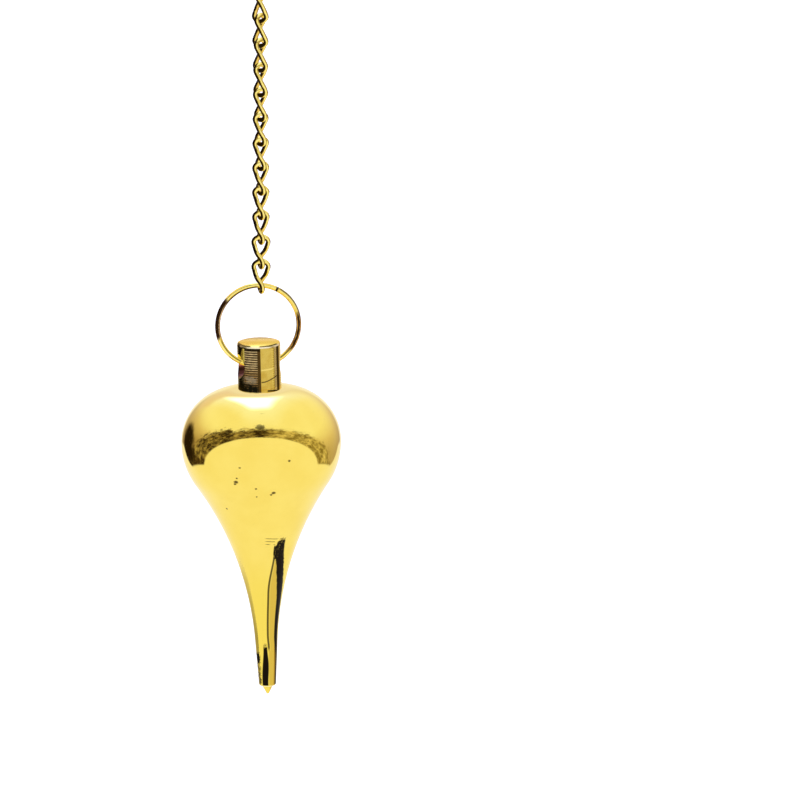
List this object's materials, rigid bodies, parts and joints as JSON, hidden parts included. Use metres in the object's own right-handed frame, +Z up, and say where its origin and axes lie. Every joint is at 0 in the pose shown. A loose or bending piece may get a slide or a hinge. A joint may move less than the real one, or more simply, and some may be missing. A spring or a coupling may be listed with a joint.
{
  "type": "pendulum pendant",
  "caption": "Turned brass pendulum bob with a drilled cap, hanging by a jump ring from a twisting curb chain that has an open star charm and a jump ring at its top end.",
  "frame": {"origin": "inside top of the upper jump ring, the point that it hangs from", "axes": "+Z up along the plumb line, +X to the right and +Y away in the front view, the swing ring lies in the XZ plane"},
  "size_m": [0.017, 0.017, 0.2464],
  "materials": {
    "bob_gold": "polished, light yellow gold plate on turned brass, with a darker worn band and small pits",
    "cap_brass": "turned brass, half polished, tarnished in the bore and at the lower edge",
    "ring_gold": "bright drawn wire with a pale gold plate",
    "chain_gold": "bright yellow gold plate, darker between the links",
    "star_gold": "cast, brown-gold plate, brighter on its edges"
  },
  "bodies": {
    "chain_and_charm": {"top_ring": "ring_gold", "star_charm": "star_gold", "chain": "chain_gold"},
    "ring": {"swing_ring": "ring_gold"},
    "pendulum_bob": {"cap": "cap_brass", "bob": "bob_gold"}
  },
  "joints": [
    {"name": "ring_swing", "type": "hinge", "parent": "chain_and_charm", "child": "ring", "pos_m": [0, 0, -0.20185], "axis": [0, 1, 0], "range_deg": [-50, 40]},
    {"name": "bob_swing", "type": "hinge", "parent": "ring", "child": "pendulum_bob", "pos_m": [-0.00022, 0, -0.20975], "axis": [0.9997, 0, 0.0227], "range_deg": [-110, 110]}
  ]
}
